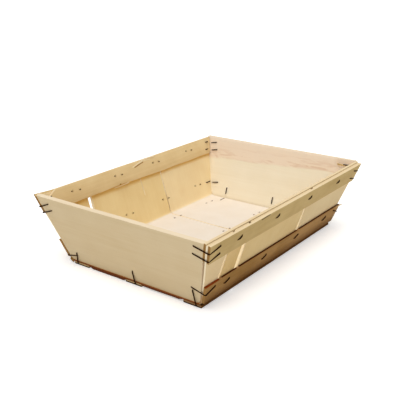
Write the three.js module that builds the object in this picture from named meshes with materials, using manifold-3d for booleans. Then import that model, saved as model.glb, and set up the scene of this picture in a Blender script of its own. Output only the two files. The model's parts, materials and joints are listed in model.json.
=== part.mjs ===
// A gift basket tray of light poplar. Four strips of peeled veneer are each bent up at both sides
// to make the floor and the long walls, two sawn boards close the ends, and thin rails and runners
// clamp the strips. Everything is stitched with steel wire staples clinched on the inside.
//
// Millimetres, +Z up. X runs along the tray and Y across it. The origin is under its middle, on the
// undersides of the runners. The front end is at -X and the near wall is at -Y.

import * as THREE from "three";
import { mergeVertices } from "three/addons/utils/BufferGeometryUtils.js";
import Module from "manifold-3d";

// Driving dimensions of the whole tray
const rimLength = 330; // over the outer faces of the end boards, along their top edges
const endFlare = 24.5; // how much further out each end board's top edge is than its bottom edge
const rimWidth = 233; // between the long walls' inner faces, level with the top of the end boards
const footWidth = 185; // the same at the floor
const boardRise = 79; // height of an end board's outer face
const boardThickness = 5;
const veneerThickness = 2;
const foldRadius = 5; // inside of the bend between the floor and a wall
const railThickness = 2.6;
const railWidth = 23.5;
const lowerRailLift = 2.6; // from the floor's surface up to a lower rail, along the wall
const runnerThickness = 3;
const runnerWidth = 23;
const nearRunnerInset = 9.5; // from the near wall's foot in to the centre line of the runner there
const farRunnerInset = 15.5; // the same at the far wall
const layerGap = 0.3; // between pieces that lie on each other
const foldSteps = 4; // straight stretches in each fold
const weldDistance = 1e-4; // corners closer than this are one corner of a solid

// Values of the veneer strips
const firstStripWidth = 18.5; // on the floor, from its front end
const stripTopSetback = 0.8; // how far the strips end below the rails' top edges
const stripFootSetback = 1.8; // how far the floor ends behind the end boards' faces
const firstGap = 1.5; // between the first strip and the second
const secondGap = 6.5; // between the second strip and the third
const thirdFarGap = 1.4; // between the third strip and the fourth, at the far rim
const thirdNearGap = 3.2; // the same at the near rim

// Where the middles of the other gaps lie, from the tray's middle, as shares of the floor's length.
const secondGapShare = -0.323;
const thirdFarGapShare = 0.1466;
const thirdNearGapShare = 0.132;

// Values of the corner that is cut off the far inner rail's front end
const snipLength = 22; // along the rail's top edge
const snipDepth = 11.6; // down its end

// Values of the staples
const wireDiameter = 1.3;
const wireSides = 6;
const wireClearance = 0.3; // between a wire and the wood round it
const surfaceClearance = 0.35; // between a wire and the face that it lies on
const baseClearance = 0.2; // how far the wires under the runners stay above the ground
const bendRadius = 0.6;
const crownWidth = 10.5;
const flatTip = 3; // bent outwards inside the tray
const stationCount = 4; // staples in a row
const stationPitchShare = 0.2562; // from one to the next, as a share of the floor's length
const nearTopDrop = 9.5; // from the rim down to a row of staples, along the wall
const farTopDrop = 9.2;
const nearLowerLift = 15.9; // from a lower rail's lower edge up to its row of staples
const farLowerLift = 19;
const nearTopShift = -3.5; // of a row of staples, towards the back
const farTopShift = -2.3;
const nearLowerShift = -0.5;
const farLowerShift = 1.8;
const nearTilt = THREE.MathUtils.degToRad(27);
const farTilt = THREE.MathUtils.degToRad(5);
const floorTilt = THREE.MathUtils.degToRad(5);
const cornerTip = 9;
const cornerBoardRun = 15.5; // from the tray's corner to the hole in the end board
const lowerBoardRun = 13; // the same for the lower corner staples
const cornerWallRun = 17; // from the tray's corner to the hole in the wall
const footTip = 10.5;
const footRunnerRun = 17; // from a runner's end to the hole in its underside

// Heights of the corner staples' bends and holes, as shares of the end boards' rise.
const cornerHeightShares = {
  front_near: { top: [0.859, 0.927], second: [0.733, 0.806], lower: [0.16, 0.24] },
  front_far: { top: [0.806, 0.903], second: [0.714, 0.803], lower: [0.06, 0.125] },
  back_near: { top: [0.85, 0.914], second: [0.725, 0.79], lower: [0.164, 0.245] },
  back_far: { top: [0.83, 0.908], second: [0.7, 0.783], lower: [0.12, 0.22] },
};

// The staples under the end boards' feet: how far from the runner's centre line they enter the board
// and turn under the runner, and how far above the board's bottom edge they enter it.
const footPlaces = {
  front_near: { hole: -5, turn: -6, lift: 16 },
  front_middle: { hole: -3.4, turn: -3.9, lift: 13.2 },
  front_far: { hole: 2.4, turn: 5.6, lift: 12.1 },
  back_near: { hole: -3, turn: -5, lift: 13 },
  back_middle: { hole: -5.4, turn: -5, lift: 13.6 },
  back_far: { hole: -8.5, turn: -8.5, lift: 13 },
};

// Sizes that follow from these
const wireRadius = wireDiameter / 2;
const wireLift = wireRadius + surfaceClearance; // from a face to the middle line of a wire on it
const buriedLift = -(wireRadius + baseClearance); // the same under the runners, where it is sunk in
const floorUnderside = runnerThickness + layerGap;
const floorTop = floorUnderside + veneerThickness;
const boardFoot = floorTop + layerGap;
const boardTop = boardFoot + boardRise;
const footLength = rimLength - 2 * endFlare; // over the end boards, along their bottom edges
const nearRunnerY = nearRunnerInset - footWidth / 2;
const farRunnerY = footWidth / 2 - farRunnerInset;
const runnerLength = footLength;
const stationPitch = stationPitchShare * footLength;
const endSlope = endFlare / boardRise; // outward travel for each unit of height
const endLean = Math.atan(endSlope);
const outerRailFace = veneerThickness + layerGap + railThickness; // from a wall's inner face
const innerRailFace = -(layerGap + railThickness);
const overrun = rimLength; // half the size of the rough blanks and cutters

// Finishes
const finishes = {
  veneer: new THREE.MeshStandardMaterial({ color: 0xe2c794, roughness: 0.75, metalness: 0 }),
  board: new THREE.MeshStandardMaterial({ color: 0xe0c9a0, roughness: 0.7, metalness: 0 }),
  rail: new THREE.MeshStandardMaterial({ color: 0xc9ab74, roughness: 0.75, metalness: 0 }),
  wire: new THREE.MeshStandardMaterial({ color: 0x3a2a1c, roughness: 0.45, metalness: 1 }),
};

const wasm = await Module();
wasm.setup();

// A closed three.js geometry as a solid for cutting.
function solidOf(geometry) {
  const bare = geometry.index ? geometry.toNonIndexed() : geometry.clone();
  bare.deleteAttribute("normal");
  bare.deleteAttribute("uv");
  const merged = mergeVertices(bare, weldDistance);
  return new wasm.Manifold(
    new wasm.Mesh({
      numProp: 3,
      vertProperties: merged.attributes.position.array,
      triVerts: new Uint32Array(merged.index.array),
    }),
  );
}

// A cut solid as a three.js geometry with flat faces.
function geometryOf(solid) {
  const mesh = solid.getMesh();
  const corners = new Float32Array(mesh.vertProperties);
  const triangles = new Uint32Array(mesh.triVerts);
  const geometry = new THREE.BufferGeometry();
  geometry.setAttribute("position", new THREE.BufferAttribute(corners, 3));
  geometry.setIndex(new THREE.BufferAttribute(triangles, 1));
  const faceted = geometry.toNonIndexed();
  faceted.computeVertexNormals();
  return faceted;
}

// A prism on an outline, reaching an overrun to both sides of it.
function prism(outline) {
  const shape = new THREE.Shape(outline.map(([across, up]) => new THREE.Vector2(across, up)));
  const geometry = new THREE.ExtrudeGeometry(shape, { depth: 2 * overrun, bevelEnabled: false });
  return geometry.translate(0, 0, -overrun);
}

// Extrudes an outline of points with Y and Z along X, past both ends of the tray.
function extrudeAlongX(points) {
  const geometry = prism(points.map((point) => [point.y, point.z]));
  geometry.rotateX(Math.PI / 2);
  geometry.rotateZ(Math.PI / 2);
  return solidOf(geometry);
}

// Extrudes an outline of X and Z along Y, past both walls.
function extrudeAlongY(outline) {
  return solidOf(prism(outline).rotateX(Math.PI / 2));
}

// Extrudes an outline of X and Y upwards, from below the tray to above it.
function extrudeUp(outline) {
  return solidOf(prism(outline));
}

// A long wall as a leaning plane: up runs along the wall and out points away from the tray.
function makeWall(side, rimReach) {
  const slope = (rimReach - footWidth / 2) / (boardTop - floorTop);
  const lean = Math.atan(slope);
  const up = new THREE.Vector3(0, side * Math.sin(lean), Math.cos(lean));
  const out = new THREE.Vector3(0, side * Math.cos(lean), -Math.sin(lean));
  const foot = new THREE.Vector3(0, (side * footWidth) / 2, floorTop);
  return {
    side,
    lean,
    up,
    out,
    rise: (boardTop - floorTop) / Math.cos(lean),
    // The point at x, at a travel up the wall and an offset outwards from its inner face.
    at: (x, travel, offset) =>
      foot.clone().addScaledVector(up, travel).addScaledVector(out, offset).setX(x),
    // The Y of the wall at a height, moved outwards by an offset from its inner face.
    yAt: (height, offset) =>
      side * (footWidth / 2 + (height - floorTop) * slope + offset / Math.cos(lean)),
  };
}

// The near wall stands out by one rail, because its inner rail runs past the end boards' edges.
const farWall = makeWall(1, rimWidth / 2);
const nearWall = makeWall(-1, rimWidth / 2 + railThickness + layerGap);
const walls = { near: nearWall, far: farWall };

// An end board as a leaning plane, where end is -1 at the front and 1 at the back.
function makeEnd(end) {
  return {
    end,
    up: new THREE.Vector3(end * Math.sin(endLean), 0, Math.cos(endLean)),
    out: new THREE.Vector3(end * Math.cos(endLean), 0, -Math.sin(endLean)),
    xAt: (height, offset) =>
      end * (footLength / 2 + (height - boardFoot) * endSlope + offset / Math.cos(endLean)),
  };
}
const ends = { front: makeEnd(-1), back: makeEnd(1) };

// All that lies between the end boards' outer faces, or between planes moved outwards from them by
// an offset. A setback draws the planes back at the ground, and less and less of it up to the rim.
function betweenEnds(offset, footSetback = 0) {
  const reachAt = (height) =>
    ends.back.xAt(height, offset) - footSetback * (1 - height / boardTop);
  return extrudeAlongY([
    [-reachAt(0), 0],
    [reachAt(0), 0],
    [reachAt(overrun), overrun],
    [-reachAt(overrun), overrun],
  ]);
}

// The arc of the fold between the floor and a wall, from the floor up, at an offset from the inner
// faces.
function foldPoints(wall, offset) {
  const turn = Math.PI / 2 - wall.lean;
  const start = foldRadius * Math.tan(turn / 2);
  const centreY = wall.side * (footWidth / 2 - start);
  const centreZ = floorTop + foldRadius;
  const points = [];
  for (let step = 0; step <= foldSteps; step += 1) {
    const angle = (turn * step) / foldSteps;
    points.push(
      new THREE.Vector3(
        0,
        centreY + wall.side * (foldRadius + offset) * Math.sin(angle),
        centreZ - (foldRadius + offset) * Math.cos(angle),
      ),
    );
  }
  return points;
}

// One face of the bent veneer across the tray, from the near rim over the floor to the far rim.
function veneerFace(offset) {
  return [
    nearWall.at(0, nearWall.rise - stripTopSetback, offset),
    ...foldPoints(nearWall, offset).reverse(),
    ...foldPoints(farWall, offset),
    farWall.at(0, farWall.rise - stripTopSetback, offset),
  ];
}

// The two sides of a gap between strips, from the X of its middle and its width. All are given at the
// far rim and at the near rim.
function makeGap([far, near], [farGap, nearGap]) {
  return {
    before: [far - farGap / 2, near - nearGap / 2],
    after: [far + farGap / 2, near + nearGap / 2],
  };
}
const firstMiddle = -footLength / 2 + firstStripWidth + firstGap / 2;
const secondMiddle = secondGapShare * footLength;
const thirdMiddles = [thirdFarGapShare * footLength, thirdNearGapShare * footLength];
const gaps = [
  makeGap([firstMiddle, firstMiddle], [firstGap, firstGap]),
  makeGap([secondMiddle, secondMiddle], [secondGap, secondGap]),
  makeGap(thirdMiddles, [thirdFarGap, thirdNearGap]),
];
const stripEdges = [
  { from: [-overrun, -overrun], to: gaps[0].before },
  { from: gaps[0].after, to: gaps[1].before },
  { from: gaps[1].after, to: gaps[2].before },
  { from: gaps[2].after, to: [overrun, overrun] },
];

// One strip: the bent veneer cut to its own width and to the end boards' faces. The plan's corners
// lie a whole rim width from the middle, twice as far out as the rims for which the edges are given.
function makeStrip({ from, to }) {
  const plan = extrudeUp([
    [cornerOf(from, -1), -rimWidth],
    [cornerOf(to, -1), -rimWidth],
    [cornerOf(to, 1), rimWidth],
    [cornerOf(from, 1), rimWidth],
  ]);
  const bent = extrudeAlongX([...veneerFace(veneerThickness), ...veneerFace(0).reverse()]);
  return bent.intersect(plan).intersect(betweenEnds(0, stripFootSetback));
}

// Where a strip's edge, given by its X at the far rim and the near rim, meets a plan's corner.
function cornerOf([far, near], side) {
  return (far + near) / 2 + side * (far - near);
}

// A rail on a wall, between two travels up the wall and two offsets from its inner face.
function makeRail(wall, [low, high], [inner, outer], envelope) {
  const corners = [
    wall.at(0, low, inner),
    wall.at(0, high, inner),
    wall.at(0, high, outer),
    wall.at(0, low, outer),
  ];
  if (wall.side > 0) corners.reverse();
  return extrudeAlongX(corners).intersect(envelope);
}

// Cuts the upper front corner off the far inner rail, along a line from its top edge to its end.
function snipped(rail) {
  const top = farWall.at(0, farWall.rise, innerRailFace).z;
  const face = ends.front.xAt(top, -boardThickness);
  const wedge = extrudeAlongY([
    [face - snipLength, top + snipDepth],
    [face - snipLength, top - 2 * snipDepth],
    [face + 2 * snipLength, top + snipDepth],
  ]);
  return rail.subtract(wedge);
}

// An end board: the inside of the walls seen along X, cut out of a leaning plank with square edges.
// Its near edge is straight from the fold to the inner rail's face, so a thin wedge stays open
// between it and the wall under that rail.
function makeBoard(end) {
  const railFoot = nearWall.rise - railWidth - layerGap;
  const wedge = (railThickness + layerGap) * (railFoot / nearWall.rise);
  const besideRail = innerRailFace - layerGap;
  const inside = extrudeAlongX([
    nearWall.at(0, nearWall.rise + boardThickness, besideRail),
    nearWall.at(0, railFoot, besideRail),
    nearWall.at(0, railFoot, -layerGap - wedge),
    ...foldPoints(nearWall, -layerGap).reverse(),
    ...foldPoints(farWall, -layerGap),
    farWall.at(0, farWall.rise + boardThickness, -layerGap),
  ]);
  const plankHeight = boardRise / Math.cos(endLean);
  const plank = new THREE.BoxGeometry(boardThickness, overrun, plankHeight);
  plank.translate(-boardThickness / 2, 0, plankHeight / 2);
  plank.rotateY(endLean);
  plank.translate(footLength / 2, 0, boardFoot);
  if (end.end < 0) plank.rotateZ(Math.PI);
  return solidOf(plank).intersect(inside);
}

// A runner under the floor, with its centre line at y.
function makeRunner(y) {
  const runner = new THREE.BoxGeometry(runnerLength, runnerWidth, runnerThickness);
  runner.translate(0, y, runnerThickness / 2);
  return solidOf(runner);
}

// The direction from one point to another.
function direction(from, to) {
  return to.clone().sub(from).normalize();
}

// The middle line of a bent wire: straight runs, with each corner cut across where its bend begins
// and ends. Both ends can be made longer by an extension.
class WireLine extends THREE.Curve {
  constructor(corners, extension = 0) {
    super();
    const last = corners.length - 1;
    const start = direction(corners[1], corners[0]);
    const finish = direction(corners[last - 1], corners[last]);
    this.points = [corners[0].clone().addScaledVector(start, extension)];
    for (let i = 1; i < last; i += 1) {
      const back = direction(corners[i], corners[i - 1]);
      const on = direction(corners[i], corners[i + 1]);
      const turn = Math.PI - back.angleTo(on);
      const reach = bendRadius * Math.tan(turn / 2);
      this.points.push(corners[i].clone().addScaledVector(back, reach));
      this.points.push(corners[i].clone().addScaledVector(on, reach));
    }
    this.points.push(corners[last].clone().addScaledVector(finish, extension));
    this.steps = this.points.length - 1;
  }
  getPointAt(share) {
    return this.points[Math.round(share * this.steps)].clone();
  }
  getTangentAt(share) {
    const here = Math.round(share * this.steps);
    const before = this.points[Math.max(here - 1, 0)];
    const at = this.points[here];
    const after = this.points[Math.min(here + 1, this.steps)];
    return direction(before, at).add(direction(at, after)).normalize();
  }
}

// A wire of the given radius along the corners of its middle line.
function makeWire(corners, radius, extension = 0) {
  const line = new WireLine(corners, extension);
  const section = [];
  for (let side = 0; side < wireSides; side += 1) {
    const angle = (2 * Math.PI * side) / wireSides;
    section.push(new THREE.Vector2(radius * Math.cos(angle), radius * Math.sin(angle)));
  }
  return new THREE.ExtrudeGeometry(new THREE.Shape(section), {
    steps: line.steps,
    extrudePath: line,
    bevelEnabled: false,
  });
}

// The near wall reaches further from the floor's middle than the far one, so the tray is shifted to
// stand over its origin.
const reachOf = (wall) => Math.abs(wall.at(0, wall.rise, outerRailFace).y);
const tray = new THREE.Group();
tray.position.y = (reachOf(nearWall) - reachOf(farWall)) / 2;
const root = new THREE.Group();
root.add(tray);
const wood = [];
const seats = [];

function addWood(name, solid, finish) {
  wood.push({ name, solid, finish });
}

// Adds one staple and keeps the room that it needs in the wood, a little wider than its wire.
function addStaple(name, corners, place = new THREE.Matrix4()) {
  const staple = new THREE.Mesh(makeWire(corners, wireRadius), finishes.wire);
  staple.name = name;
  staple.applyMatrix4(place);
  tray.add(staple);
  const seat = makeWire(corners, wireRadius + wireClearance, wireClearance);
  seat.applyMatrix4(place);
  seats.push(solidOf(seat));
}

// The corners of a flat staple: the crown lies along X, and the legs go down through a stack of layers.
function flatStaple(stack, lift) {
  const half = crownWidth / 2;
  const inside = -(stack + wireLift);
  return [
    new THREE.Vector3(-half - flatTip, 0, inside),
    new THREE.Vector3(-half, 0, inside),
    new THREE.Vector3(-half, 0, lift),
    new THREE.Vector3(half, 0, lift),
    new THREE.Vector3(half, 0, inside),
    new THREE.Vector3(half + flatTip, 0, inside),
  ];
}

// A placement whose Z points out of a face, with X turned by a tilt from the tray's length.
function onFace(origin, out, tilt) {
  const along = new THREE.Vector3(1, 0, 0).applyAxisAngle(out, tilt);
  const across = out.clone().cross(along);
  return new THREE.Matrix4().makeBasis(along, across, out).setPosition(origin);
}

// One row of flat staples along the tray. Stations before the first one wanted are left out.
function addRow(name, stack, lift, out, tilt, originAt, firstStation = 0) {
  for (let station = firstStation; station < stationCount; station += 1) {
    const x = (station - (stationCount - 1) / 2) * stationPitch;
    addStaple(name + "_" + (station + 1), flatStaple(stack, lift), onFace(originAt(x), out, tilt));
  }
}

// A corner staple: through the end board, down across the tray's corner, up again and through the wall.
function addCornerStaple(name, end, wall, stack, boardRun, [bendShare, holeShare]) {
  const bendHeight = boardFoot + bendShare * boardRise;
  const holeHeight = boardFoot + holeShare * boardRise;
  const outerFace = outerRailFace + wireLift;
  const cornerY = wall.yAt(holeHeight, 0);
  const cornerX = end.xAt(holeHeight, 0);
  const holeY = cornerY - wall.side * boardRun;
  const boardOut = new THREE.Vector3(end.xAt(holeHeight, wireLift), holeY, holeHeight);
  const boardIn = boardOut.clone().addScaledVector(end.out, -(boardThickness + 2 * wireLift));
  const boardTip = boardIn.clone().add(new THREE.Vector3(0, wall.side * cornerTip, 0));
  const bendX = end.xAt(bendHeight, wireLift);
  const bend = new THREE.Vector3(bendX, wall.yAt(bendHeight, outerFace), bendHeight);
  const holeX = cornerX - end.end * cornerWallRun;
  const wallOut = new THREE.Vector3(holeX, wall.yAt(holeHeight, outerFace), holeHeight);
  const wallIn = wallOut.clone().addScaledVector(wall.out, -(stack + 2 * wireLift));
  const wallTip = wallIn.clone().add(new THREE.Vector3(end.end * cornerTip, 0, 0));
  addStaple(name, [boardTip, boardIn, boardOut, bend, wallOut, wallIn, wallTip]);
}

// A staple under the tray's foot: through the end board, round the runner's end and up through the floor.
function addFootStaple(name, end, runnerY, { hole, turn, lift }) {
  const holeHeight = boardFoot + lift;
  const footY = runnerY + turn;
  const under = wireRadius + baseClearance;
  const boardOut = new THREE.Vector3(end.xAt(holeHeight, wireLift), runnerY + hole, holeHeight);
  const boardIn = boardOut.clone().addScaledVector(end.out, -(boardThickness + 2 * wireLift));
  const boardTip = boardIn.clone().addScaledVector(end.up, -cornerTip);
  const bend = new THREE.Vector3(end.end * (runnerLength / 2 + wireLift), footY, under);
  const floorOut = new THREE.Vector3(end.end * (runnerLength / 2 - footRunnerRun), footY, under);
  const floorIn = floorOut.clone().setZ(floorTop + wireLift);
  const floorTip = floorIn.clone().add(new THREE.Vector3(end.end * footTip, 0, 0));
  addStaple(name, [boardTip, boardIn, boardOut, bend, floorOut, floorIn, floorTip]);
}

// Wood. The near inner rail runs over the end boards' edges, and the far one ends between the boards.
addWood("end_board_front", makeBoard(ends.front), finishes.board);
addWood("end_board_back", makeBoard(ends.back), finishes.board);
stripEdges.forEach((edges, index) => {
  addWood("veneer_strip_" + (index + 1), makeStrip(edges), finishes.veneer);
});
const wholeLength = betweenEnds(0);
const insideLength = betweenEnds(-(boardThickness + layerGap));
const outside = [veneerThickness + layerGap, outerRailFace];
const inside = [innerRailFace, -layerGap];
for (const [name, wall] of Object.entries(walls)) {
  const top = [wall.rise - railWidth, wall.rise];
  const lower = [lowerRailLift, lowerRailLift + railWidth];
  const innerRail =
    wall === farWall
      ? snipped(makeRail(wall, top, inside, insideLength))
      : makeRail(wall, top, inside, wholeLength);
  addWood("top_rail_outer_" + name, makeRail(wall, top, outside, wholeLength), finishes.rail);
  addWood("top_rail_inner_" + name, innerRail, finishes.rail);
  addWood("lower_rail_" + name, makeRail(wall, lower, outside, wholeLength), finishes.rail);
}
const middleRunnerY = (nearRunnerY + farRunnerY) / 2;
const runnerRows = { near: nearRunnerY, middle: middleRunnerY, far: farRunnerY };
for (const [name, y] of Object.entries(runnerRows)) {
  addWood("runner_" + name, makeRunner(y), finishes.rail);
}

// Flat staples: two rows on each wall and one along each runner
const rows = {
  near: {
    tilt: nearTilt,
    top: { shift: nearTopShift, travel: nearWall.rise - nearTopDrop },
    lower: { shift: nearLowerShift, travel: lowerRailLift + nearLowerLift },
  },
  far: {
    tilt: farTilt,
    top: { shift: farTopShift, travel: farWall.rise - farTopDrop },
    lower: { shift: farLowerShift, travel: lowerRailLift + farLowerLift },
  },
};
const topStack = outerRailFace - innerRailFace;
const runnerStack = floorTop;
for (const [name, { tilt, top, lower }] of Object.entries(rows)) {
  const wall = walls[name];
  const topAt = (x) => wall.at(x + top.shift, top.travel, outerRailFace);
  const lowerAt = (x) => wall.at(x + lower.shift, lower.travel, outerRailFace);
  addRow("staple_top_" + name, topStack, wireLift, wall.out, tilt, topAt);
  addRow("staple_lower_" + name, outerRailFace, wireLift, wall.out, tilt, lowerAt);
}
const down = new THREE.Vector3(0, 0, -1);
for (const [name, y] of Object.entries(runnerRows)) {
  const first = name === "middle" ? 1 : 0;
  const groundAt = (x) => new THREE.Vector3(x, y, 0);
  addRow("staple_runner_" + name, runnerStack, buriedLift, down, floorTilt, groundAt, first);
}

// Corner staples, and the staples under the feet of the end boards
for (const [endName, end] of Object.entries(ends)) {
  for (const [wallName, wall] of Object.entries(walls)) {
    const shares = cornerHeightShares[endName + "_" + wallName];
    const name = "corner_staple_" + endName + "_" + wallName;
    addCornerStaple(name + "_top", end, wall, topStack, cornerBoardRun, shares.top);
    addCornerStaple(name + "_second", end, wall, topStack, cornerBoardRun, shares.second);
    addCornerStaple(name + "_lower", end, wall, outerRailFace, lowerBoardRun, shares.lower);
  }
  for (const [runnerName, y] of Object.entries(runnerRows)) {
    const place = endName + "_" + runnerName;
    addFootStaple("foot_staple_" + place, end, y, footPlaces[place]);
  }
}

// Each wooden piece is pierced and dented by the staples that hold it.
const allSeats = seats.reduce((whole, seat) => whole.add(seat));
for (const { name, solid, finish } of wood) {
  const piece = new THREE.Mesh(geometryOf(solid.subtract(allSeats)), finish);
  piece.name = name;
  tray.add(piece);
}

export default root;
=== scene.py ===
# %% [markdown]
# # A gift basket tray of light poplar
# Four strips of peeled veneer are bent into a floor with two long walls, two sawn boards close the
# ends, and thin laths clamp the veneer at the rim and at the foot. Wire staples hold it together.
#
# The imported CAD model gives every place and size. Each piece here is modelled over its CAD node with
# the rounded edges, the warp and the wood grain that the plain solid leaves out.

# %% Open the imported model
import json
import math

import bmesh
import bpy
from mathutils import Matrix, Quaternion, Vector

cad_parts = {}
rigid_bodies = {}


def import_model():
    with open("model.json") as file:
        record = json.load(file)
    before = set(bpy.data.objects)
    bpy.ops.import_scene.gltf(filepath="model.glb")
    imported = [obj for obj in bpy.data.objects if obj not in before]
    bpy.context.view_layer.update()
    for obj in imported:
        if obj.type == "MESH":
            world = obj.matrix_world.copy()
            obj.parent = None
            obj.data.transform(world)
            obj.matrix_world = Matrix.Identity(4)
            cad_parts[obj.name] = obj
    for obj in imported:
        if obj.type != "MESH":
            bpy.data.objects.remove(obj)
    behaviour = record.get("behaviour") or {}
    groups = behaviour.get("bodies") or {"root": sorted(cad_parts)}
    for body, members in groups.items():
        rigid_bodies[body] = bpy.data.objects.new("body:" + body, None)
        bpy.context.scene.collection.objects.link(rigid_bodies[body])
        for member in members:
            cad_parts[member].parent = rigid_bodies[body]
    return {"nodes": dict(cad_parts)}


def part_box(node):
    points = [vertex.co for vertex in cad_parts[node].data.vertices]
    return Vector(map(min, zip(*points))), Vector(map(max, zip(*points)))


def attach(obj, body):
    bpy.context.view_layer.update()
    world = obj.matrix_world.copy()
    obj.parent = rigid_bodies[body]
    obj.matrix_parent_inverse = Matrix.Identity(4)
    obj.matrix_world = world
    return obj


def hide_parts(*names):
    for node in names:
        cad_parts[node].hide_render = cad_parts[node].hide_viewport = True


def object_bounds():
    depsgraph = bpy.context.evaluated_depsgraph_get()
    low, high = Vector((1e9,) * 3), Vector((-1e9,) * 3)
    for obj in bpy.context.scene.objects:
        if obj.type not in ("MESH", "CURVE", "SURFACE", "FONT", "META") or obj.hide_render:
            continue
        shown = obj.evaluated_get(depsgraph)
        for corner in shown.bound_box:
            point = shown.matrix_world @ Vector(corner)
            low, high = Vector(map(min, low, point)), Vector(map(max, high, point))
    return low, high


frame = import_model()
cad_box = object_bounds()
print("CAD nodes:", len(frame["nodes"]))

# %% [markdown]
# ## Places from the model
# The walls and the end boards lean, so a bounding box doesn't say where their corners are. The
# farthest vertex of a node along a slanting direction does, and it needs no copied numbers.

# %% Lengths and corners
mm = 0.001
veneer = 2 * mm
lath = 2.6 * mm
layer_gap = 0.3 * mm
board = 5 * mm
fold_radius = 5 * mm
along_tray = Vector((1, 0, 0))
across_tray = Vector((0, 1, 0))
upright = Vector((0, 0, 1))
rows = ("near", "middle", "far")


def farthest(node, direction):
    corners = (vertex.co for vertex in frame["nodes"][node].data.vertices)
    return max(corners, key=lambda corner: corner.dot(direction)).copy()


def flat_in_section(vector):
    """Drops the part of a vector that runs along the tray."""
    return Vector((0, vector.y, vector.z))


# %% The two long walls
floor_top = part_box("veneer_strip_3")[0].z + veneer
outer_face = veneer + layer_gap + lath
inner_face = layer_gap + lath


class Wall:
    """A long wall's inner face: up runs along it, and out points away from the tray."""

    def __init__(self, name, side):
        rail = "top_rail_outer_" + name
        high = flat_in_section(farthest(rail, Vector((0, side, 2))))
        low = flat_in_section(farthest(rail, Vector((0, side, -2))))
        self.name = name
        self.side = side
        self.up = (high - low).normalized()
        self.out = Vector((0, side * self.up.z, -side * self.up.y))
        rim = high - self.out * outer_face
        self.rise = (rim.z - floor_top) / self.up.z
        self.foot = rim - self.up * self.rise
        self.turn = math.pi / 2 - math.atan2(abs(self.up.y), self.up.z)
        self.fold_start = fold_radius * math.tan(self.turn / 2)


walls = [Wall("near", -1), Wall("far", 1)]
near_wall, far_wall = walls
print("walls rise", [round(wall.rise / mm, 1) for wall in walls], "mm along their slope")


# %% The two ends
class End:
    """An end board's outer face: up runs along it, and out points away from the tray."""

    def __init__(self, name, side):
        node = "end_board_" + name
        self.name = name
        self.side = side
        self.high = farthest(node, Vector((side, 0, 2)))
        self.low = farthest(node, Vector((side, 0, -2)))
        slope = self.high - self.low
        slope.y = 0
        self.up = slope.normalized()
        self.out = Vector((side * self.up.z, 0, -side * self.up.x))
        self.rise = slope.length
        self.lean = math.atan2(abs(self.up.x), self.up.z)


ends = [End("front", -1), End("back", 1)]
print("end boards are", round(ends[0].rise / mm, 1), "mm high along their slope")

# %% [markdown]
# The flat staples stand in rows, and both of their tips are bent over on the inner side. The middle of
# a CAD staple's vertices lies on its own axis, which gives its place. The wood is stained there, so
# the places are needed before the staples are made.

# %% Places of the flat staples
crown_width = 10.5 * mm
wire_radius = 0.65 * mm
cad_crown_height = 1.65 * mm
cad_crown_depth = 0.2 * mm
tilts = {"near": math.radians(27), "far": math.radians(5), "runner": math.radians(5)}
stacks = {"top": outer_face + inner_face, "lower": outer_face, "runner": floor_top}


def staple_axis(node, out):
    """Where a flat staple's axis meets the face that its crown lies on."""
    places = [vertex.co for vertex in frame["nodes"][node].data.vertices]
    centre = sum(places, Vector()) / len(places)
    height = -cad_crown_depth if "runner" in node else cad_crown_height
    level = farthest(node, out).dot(out) - height
    return centre + out * (level - centre.dot(out))


def staple_tips(kind, wall_name, out):
    """The places where the tips of one row of flat staples come through the wood."""
    tips = []
    along = Quaternion(out, tilts["runner" if kind == "runner" else wall_name]) @ along_tray
    for node in sorted(frame["nodes"]):
        if node.startswith("staple_" + kind + "_" + wall_name):
            inner_end = staple_axis(node, out) - out * stacks[kind]
            tips += [inner_end - along * crown_width / 2, inner_end + along * crown_width / 2]
    return tips


tip_counts = {wall.name: len(staple_tips("top", wall.name, wall.out)) for wall in walls}
print("tips of the staples along each rim:", tip_counts)

# %% [markdown]
# ## Camera
# The camera stands where the photograph was taken: low, off the front left corner, and a little
# rolled. A quaternion that points the camera's back at a direction is then turned about its own axis.

# %% Set up the camera
azimuth = math.radians(-52.95)
elevation = math.radians(19.58)
roll = math.radians(-0.514)
camera_distance = 0.8047
camera_target = Vector((-0.00244, 0.01154, 0.05408))
camera_back = Vector((
    math.sin(azimuth) * math.cos(elevation),
    -math.cos(azimuth) * math.cos(elevation),
    math.sin(elevation),
))
bpy.ops.object.camera_add(location=camera_target + camera_back * camera_distance)
camera = bpy.context.object
camera.data.sensor_width = 36
camera.data.lens = 59.19
camera.rotation_mode = "QUATERNION"
camera.rotation_quaternion = camera_back.to_track_quat("Z", "Y") @ Quaternion((0, 0, 1), roll)
bpy.context.scene.camera = camera
print("camera is", round(camera_distance, 2), "m from the tray")

# %% [markdown]
# ## Colours and nodes
# Painters of screens write colours as sRGB hex values, but shaders count light, so one function turns
# the written value into a linear one. Another adds a shader node of any kind with its settings and
# links. A detail in lower case is a setting of the node, and the others are its inputs.


# %% Small helpers for materials
def colour(written):
    channels = [int(written[place:place + 2], 16) / 255 for place in (1, 3, 5)]
    linear = [c / 12.92 if c <= 0.04045 else ((c + 0.055) / 1.055) ** 2.4 for c in channels]
    return (*linear, 1)


def add_node(tree, kind, **details):
    """Adds a node. An input is given a value, a socket, or a node, whose first output it takes."""
    node = tree.nodes.new("ShaderNode" + kind)
    for name, value in details.items():
        if name.islower():
            setattr(node, name, value)
            continue
        number = name[1:]
        socket = node.inputs[int(number) if number.isdigit() else name.replace("_", " ")]
        if isinstance(value, bpy.types.Node):
            value = value.outputs[0]
        if isinstance(value, bpy.types.NodeSocket):
            tree.links.new(value, socket)
        else:
            socket.default_value = value
    return node


def new_material(name):
    """An empty material, its node tree and its Principled shader."""
    material = bpy.data.materials.new(name)
    material.use_nodes = True
    tree = material.node_tree
    return material, tree, tree.nodes["Principled BSDF"]


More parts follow.
